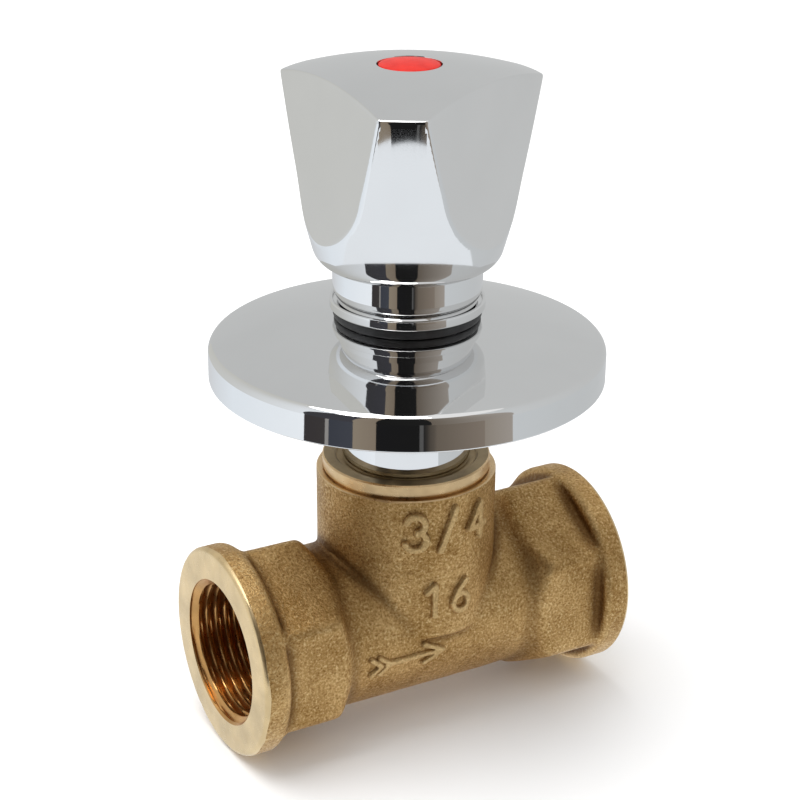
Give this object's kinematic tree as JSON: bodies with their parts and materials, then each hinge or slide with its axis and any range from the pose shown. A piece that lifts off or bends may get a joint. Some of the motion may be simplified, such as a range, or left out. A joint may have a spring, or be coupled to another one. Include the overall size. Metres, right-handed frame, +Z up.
{
  "type": "concealed stop valve",
  "caption": "Straight concealed stop valve: brass tee body with female pipe threads, chrome sleeve, sliding domed rosette and three-sided handle with an index cap.",
  "frame": {"origin": "where the pipe axis crosses the spindle axis, inside the cast body", "axes": "+X along the pipe in the direction of flow, +Z up the spindle to the handle, -Y to the side with the flow arrow"},
  "size_m": [0.075, 0.0696, 0.1208],
  "materials": {
    "cast_brass": "sand cast, unpolished",
    "turned_brass": "turned",
    "fibre_seal": "matt",
    "black_rubber": "satin",
    "slip_plastic": "matt",
    "steel": "plain",
    "chrome": "mirror chrome plate",
    "handle_chrome": "mirror chrome plate",
    "index_red": "gloss"
  },
  "bodies": {
    "valve": {"valve_body": "cast_brass", "bonnet": "turned_brass", "bonnet_seal": "fibre_seal", "sleeve": "chrome", "sleeve_oring": "black_rubber"},
    "turning_set": {"spindle": "turned_brass", "spindle_oring_lower": "black_rubber", "spindle_oring_upper": "black_rubber", "thrust_washer": "slip_plastic", "retaining_ring": "steel", "spindle_extension": "turned_brass", "extension_grub_screw": "steel", "handle": "handle_chrome", "handle_insert": "turned_brass", "handle_screw": "steel", "lock_washer": "steel", "index_cap": "index_red"},
    "disc_set": {"carrier": "turned_brass", "seat_washer": "black_rubber", "washer_plate": "steel", "washer_screw": "steel"},
    "seal_ring": {"rosette_seal": "black_rubber"},
    "rosette": {"rosette": "chrome"}
  },
  "joints": [
    {"name": "handle_turn", "type": "hinge", "parent": "valve", "child": "turning_set", "pos_m": [0, 0, 0], "axis": [0, 0, 1], "range_deg": [0, 990]},
    {"name": "disc_lift", "type": "slide", "parent": "valve", "child": "disc_set", "axis": [0, 0, 1], "range_m": [0, 0.0055]},
    {"name": "rosette_slide", "type": "slide", "parent": "valve", "child": "seal_ring", "axis": [0, 0, 1], "range_m": [-0.024, 0]},
    {"name": "rosette_turn", "type": "hinge", "parent": "seal_ring", "child": "rosette", "pos_m": [0, 0, 0.057], "axis": [0, 0, 1], "continuous": true}
  ],
  "couplings": [
    {"joint": "disc_lift", "follows": "handle_turn", "m_per_rad": 0.0003183}
  ]
}
